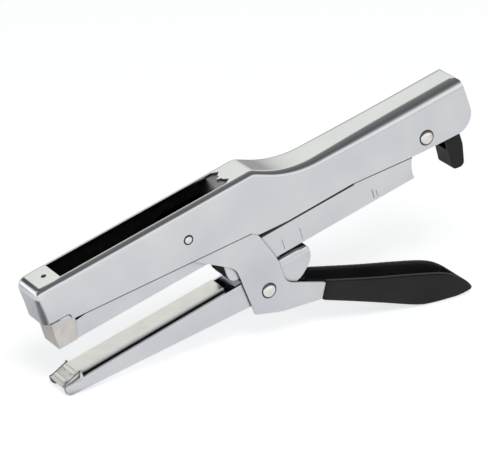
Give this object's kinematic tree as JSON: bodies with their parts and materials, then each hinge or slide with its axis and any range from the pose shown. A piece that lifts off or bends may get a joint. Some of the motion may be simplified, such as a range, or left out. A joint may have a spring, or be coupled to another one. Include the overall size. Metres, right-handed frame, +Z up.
{
  "type": "plier stapler",
  "caption": "Chrome hand plier stapler with a hinged top cover, a front-loading magazine, a long anvil arm below it and a squeeze lever with dipped grips",
  "frame": {"origin": "bottom centre of the bounding box, between the anvil arm's tip and the handle's heel, on the table", "axes": "X from the nose towards the tail, Y across the tool, Z up; the magazine rises to the tail at 17 degrees"},
  "size_m": [0.227, 0.0224, 0.108],
  "materials": {
    "chrome_sheet": "polished chrome plate over pressed steel",
    "nose_steel": "warm grey plated steel, satin",
    "anvil_steel": "bright plated steel, satin",
    "zinc_steel": "zinc plated, satin",
    "dark_steel": "hardened steel, dark satin",
    "black_lacquer": "black lacquer, satin",
    "spring_steel": "bright drawn wire",
    "rivet_steel": "bright headed steel",
    "staple_wire": "bright glued wire",
    "black_nylon": "black moulded plastic, satin",
    "vinyl": "dark dipped vinyl, soft gloss"
  },
  "bodies": {
    "frame": {"body_channel": "chrome_sheet", "magazine": "chrome_sheet", "nose_guide": "nose_steel", "staple_rail": "zinc_steel", "staple_stick": "staple_wire", "magazine_rivets": "rivet_steel", "throat_plate": "black_lacquer", "pivot_bracket": "zinc_steel", "rear_spacer": "zinc_steel", "spring_stop": "zinc_steel", "guide_rod": "spring_steel", "latch_pin": "rivet_steel", "pusher_spring": "spring_steel", "cover_spring": "spring_steel", "jaw_spring": "spring_steel", "latch_spring": "spring_steel"},
    "cover": {"cover": "chrome_sheet", "driver_blade": "dark_steel", "drive_leaf": "black_lacquer", "leaf_anchor": "zinc_steel", "driver_pin": "dark_steel", "cross_rivet": "rivet_steel", "rear_rivet": "rivet_steel"},
    "follower": {"follower": "black_nylon"},
    "arm": {"anvil_arm": "chrome_sheet", "anvil_plate": "anvil_steel", "clinch_anvil": "anvil_steel", "anvil_studs": "zinc_steel", "arm_pin": "rivet_steel", "lever_spring": "spring_steel"},
    "lever": {"lever": "chrome_sheet", "grip_sleeve": "vinyl", "main_rivet": "rivet_steel", "main_bush": "zinc_steel"},
    "latch": {"release_latch": "black_nylon"}
  },
  "joints": [
    {"name": "jaw_close", "type": "hinge", "parent": "frame", "child": "arm", "pos_m": [0.00756, 0, 0.03377], "axis": [0, 1, 0], "range_deg": [0, 8.71], "deforming": ["jaw_spring"]},
    {"name": "squeeze", "type": "hinge", "parent": "arm", "child": "lever", "pos_m": [0.00339, 0, 0.02694], "axis": [0, -1, 0], "range_deg": [0, 21], "stiffness_Nm_per_rad": 1.5, "springref_deg": -22.92, "deforming": ["lever_spring"]},
    {"name": "drive", "type": "hinge", "parent": "frame", "child": "cover", "pos_m": [0.08539, 0, 0.08352], "axis": [0, -1, 0], "range_deg": [0, 2.18], "deforming": ["cover_spring"]},
    {"name": "follower_slide", "type": "slide", "parent": "frame", "child": "follower", "axis": [0.9559, 0, 0.2937], "range_m": [0, 0.055], "stiffness_N_per_m": 20, "springref_m": -0.15, "deforming": ["pusher_spring"]},
    {"name": "latch_swing", "type": "hinge", "parent": "frame", "child": "latch", "pos_m": [0.09738, 0, 0.08533], "axis": [0, -1, 0], "range_deg": [0, 25], "stiffness_Nm_per_rad": 0.05, "springref_deg": -17.19, "deforming": ["latch_spring"]}
  ],
  "couplings": [
    {"joint": "jaw_close", "follows": "squeeze", "ratio": 0.41473},
    {"joint": "drive", "follows": "squeeze", "ratio": 0.10368}
  ]
}
